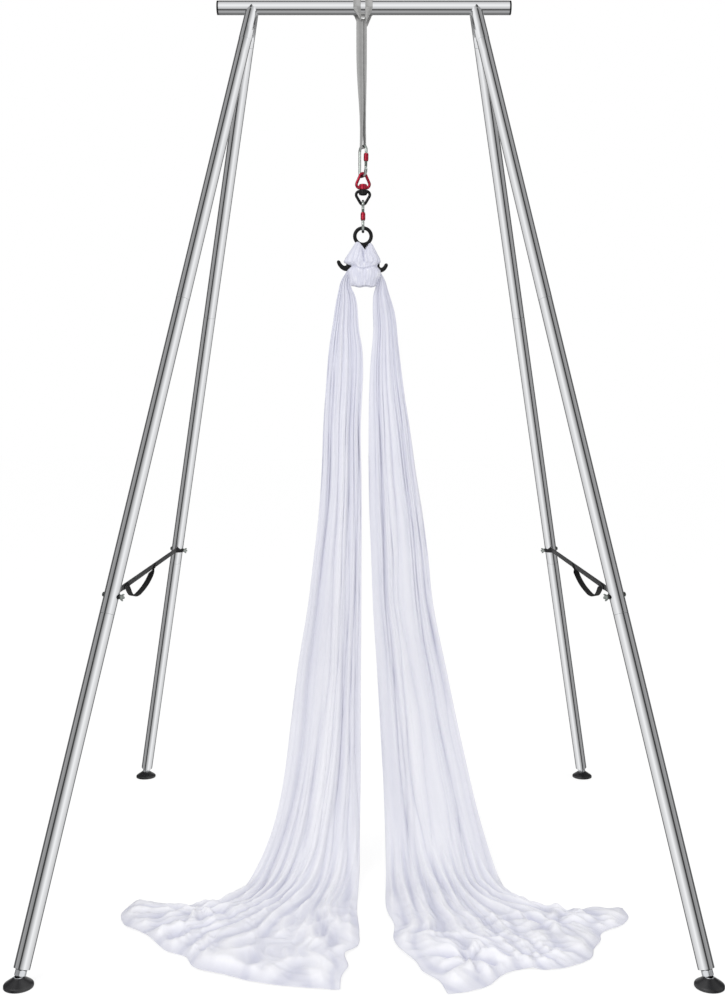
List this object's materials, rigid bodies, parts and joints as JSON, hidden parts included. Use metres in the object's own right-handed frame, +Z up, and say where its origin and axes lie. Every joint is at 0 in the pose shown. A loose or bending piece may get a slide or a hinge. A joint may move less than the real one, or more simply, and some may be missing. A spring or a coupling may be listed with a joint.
{
  "type": "aerial rig",
  "caption": "Free-standing aerial frame: a crossbar on four leaning tube legs, with a sling, carabiners, swivel, eared figure-eight ring and hanging white silk.",
  "frame": {"origin": "on the floor, midway between the four foot pads", "axes": "+Z up, +X along the crossbar to the right as seen from the front, -Y to the front, where the silk's ends pool"},
  "size_m": [1.92, 1.928, 2.9536],
  "materials": {
    "chromed_tube": "polished",
    "black_plastic": "satin",
    "pad_rubber": "matte",
    "zinc_steel": "satin",
    "black_webbing": "matte",
    "grey_webbing": "matte",
    "carabiner_steel": "satin",
    "red_anodised": "satin",
    "black_anodised": "satin",
    "white_silk": "satin"
  },
  "bodies": {
    "frame": {"crossbar_tube": "chromed_tube", "leg_socket_front_left": "chromed_tube", "upper_leg_front_left": "chromed_tube", "middle_leg_front_left": "chromed_tube", "lower_leg_front_left": "chromed_tube", "leg_socket_front_right": "chromed_tube", "upper_leg_front_right": "chromed_tube", "middle_leg_front_right": "chromed_tube", "lower_leg_front_right": "chromed_tube", "leg_socket_rear_left": "chromed_tube", "upper_leg_rear_left": "chromed_tube", "middle_leg_rear_left": "chromed_tube", "lower_leg_rear_left": "chromed_tube", "leg_socket_rear_right": "chromed_tube", "upper_leg_rear_right": "chromed_tube", "middle_leg_rear_right": "chromed_tube", "lower_leg_rear_right": "chromed_tube", "end_cap_left": "black_plastic", "end_cap_right": "black_plastic", "leg_end_plug_front_left": "black_plastic", "leg_end_plug_front_right": "black_plastic", "leg_end_plug_rear_left": "black_plastic", "leg_end_plug_rear_right": "black_plastic", "side_strap_left": "black_webbing", "side_strap_right": "black_webbing", "strap_bolt_front_left": "zinc_steel", "wing_nut_front_left": "zinc_steel", "foot_lock_nut_front_left": "zinc_steel", "strap_bolt_front_right": "zinc_steel", "wing_nut_front_right": "zinc_steel", "foot_lock_nut_front_right": "zinc_steel", "strap_bolt_rear_left": "zinc_steel", "wing_nut_rear_left": "zinc_steel", "foot_lock_nut_rear_left": "zinc_steel", "strap_bolt_rear_right": "zinc_steel", "wing_nut_rear_right": "zinc_steel", "foot_lock_nut_rear_right": "zinc_steel"},
    "foot_stud_front_left": {"foot_stud_front_left": "zinc_steel"},
    "foot_pad_front_left": {"foot_pad_front_left": "pad_rubber"},
    "foot_stud_front_right": {"foot_stud_front_right": "zinc_steel"},
    "foot_pad_front_right": {"foot_pad_front_right": "pad_rubber"},
    "foot_stud_rear_left": {"foot_stud_rear_left": "zinc_steel"},
    "foot_pad_rear_left": {"foot_pad_rear_left": "pad_rubber"},
    "foot_stud_rear_right": {"foot_stud_rear_right": "zinc_steel"},
    "foot_pad_rear_right": {"foot_pad_rear_right": "pad_rubber"},
    "sling": {"sling": "grey_webbing"},
    "upper_carabiner": {"upper_carabiner_body": "carabiner_steel"},
    "upper_gate": {"upper_carabiner_gate": "carabiner_steel"},
    "upper_sleeve": {"upper_carabiner_sleeve": "red_anodised"},
    "swivel_upper": {"swivel_upper_eye": "red_anodised", "swivel_bearing": "zinc_steel"},
    "swivel_lower": {"swivel_lower_eye": "black_anodised", "swivel_axle": "zinc_steel"},
    "lower_carabiner": {"lower_carabiner_body": "carabiner_steel"},
    "lower_gate": {"lower_carabiner_gate": "carabiner_steel"},
    "lower_sleeve": {"lower_carabiner_sleeve": "red_anodised"},
    "figure_eight": {"figure_eight": "black_anodised", "silk_hitch": "white_silk", "silk_tail_left": "white_silk", "silk_tail_right": "white_silk"}
  },
  "joints": [
    {"name": "sling_swing", "type": "hinge", "parent": "frame", "child": "sling", "pos_m": [-0.0035, 0, 2.926], "axis": [1, 0, 0], "range_deg": [-12, 12]},
    {"name": "upper_carabiner_swing", "type": "hinge", "parent": "sling", "child": "upper_carabiner", "pos_m": [-0.0035, 0, 2.44925], "axis": [1, 0, 0], "range_deg": [-2.4, 2.4]},
    {"name": "swivel_swing", "type": "hinge", "parent": "upper_carabiner", "child": "swivel_upper", "pos_m": [-0.0035, 0, 2.3565], "axis": [1, 0, 0], "range_deg": [-9.6, 9.6]},
    {"name": "swivel_spin", "type": "hinge", "parent": "swivel_upper", "child": "swivel_lower", "pos_m": [-0.0035, 0, 2.3], "axis": [0, 0, 1], "continuous": true},
    {"name": "lower_carabiner_swing", "type": "hinge", "parent": "swivel_lower", "child": "lower_carabiner", "pos_m": [-0.0035, 0, 2.2495], "axis": [1, 0, 0], "range_deg": [-15, 15]},
    {"name": "figure_eight_swing", "type": "hinge", "parent": "lower_carabiner", "child": "figure_eight", "pos_m": [-0.0035, 0, 2.16825], "axis": [1, 0, 0], "range_deg": [-15, 15]},
    {"name": "upper_gate_hinge", "type": "hinge", "parent": "upper_carabiner", "child": "upper_gate", "pos_m": [0.00606, -0.01878, 2.36688], "axis": [-0.8912, -0.4536, 0], "range_deg": [0, 22], "stiffness_Nm_per_rad": 0.05, "springref_deg": -20.05},
    {"name": "upper_sleeve_slide", "type": "slide", "parent": "upper_gate", "child": "upper_sleeve", "axis": [0.0261, -0.0513, 0.9983], "range_m": [-0.005, 0.009]},
    {"name": "lower_gate_hinge", "type": "hinge", "parent": "lower_carabiner", "child": "lower_gate", "pos_m": [-0.0035, -0.02107, 2.23912], "axis": [1, 0, 0], "range_deg": [0, 22], "stiffness_Nm_per_rad": 0.05, "springref_deg": -20.05},
    {"name": "lower_sleeve_slide", "type": "slide", "parent": "lower_gate", "child": "lower_sleeve", "axis": [0, -0.0575, -0.9983], "range_m": [-0.005, 0.014]},
    {"name": "foot_level_front_left", "type": "slide", "parent": "frame", "child": "foot_stud_front_left", "axis": [-0.1731, -0.2978, -0.9388], "range_m": [-0.001, 0.012]},
    {"name": "pad_tilt_front_left", "type": "hinge", "parent": "foot_stud_front_left", "child": "foot_pad_front_left", "pos_m": [-0.92, -0.924, 0.013], "axis": [-0.8646, 0.5025, 0], "range_deg": [-4, 24]},
    {"name": "foot_level_front_right", "type": "slide", "parent": "frame", "child": "foot_stud_front_right", "axis": [0.1731, -0.2978, -0.9388], "range_m": [-0.001, 0.012]},
    {"name": "pad_tilt_front_right", "type": "hinge", "parent": "foot_stud_front_right", "child": "foot_pad_front_right", "pos_m": [0.92, -0.924, 0.013], "axis": [-0.8646, -0.5025, 0], "range_deg": [-4, 24]},
    {"name": "foot_level_rear_left", "type": "slide", "parent": "frame", "child": "foot_stud_rear_left", "axis": [-0.1731, 0.2978, -0.9388], "range_m": [-0.001, 0.012]},
    {"name": "pad_tilt_rear_left", "type": "hinge", "parent": "foot_stud_rear_left", "child": "foot_pad_rear_left", "pos_m": [-0.92, 0.924, 0.013], "axis": [0.8646, 0.5025, 0], "range_deg": [-4, 24]},
    {"name": "foot_level_rear_right", "type": "slide", "parent": "frame", "child": "foot_stud_rear_right", "axis": [0.1731, 0.2978, -0.9388], "range_m": [-0.001, 0.012]},
    {"name": "pad_tilt_rear_right", "type": "hinge", "parent": "foot_stud_rear_right", "child": "foot_pad_rear_right", "pos_m": [0.92, 0.924, 0.013], "axis": [0.8646, -0.5025, 0], "range_deg": [-4, 24]}
  ],
  "couplings": [
    {"joint": "upper_carabiner_swing", "follows": "sling_swing", "ratio": -0.2},
    {"joint": "swivel_swing", "follows": "sling_swing", "ratio": -0.8},
    {"joint": "figure_eight_swing", "follows": "lower_carabiner_swing", "ratio": -1}
  ]
}
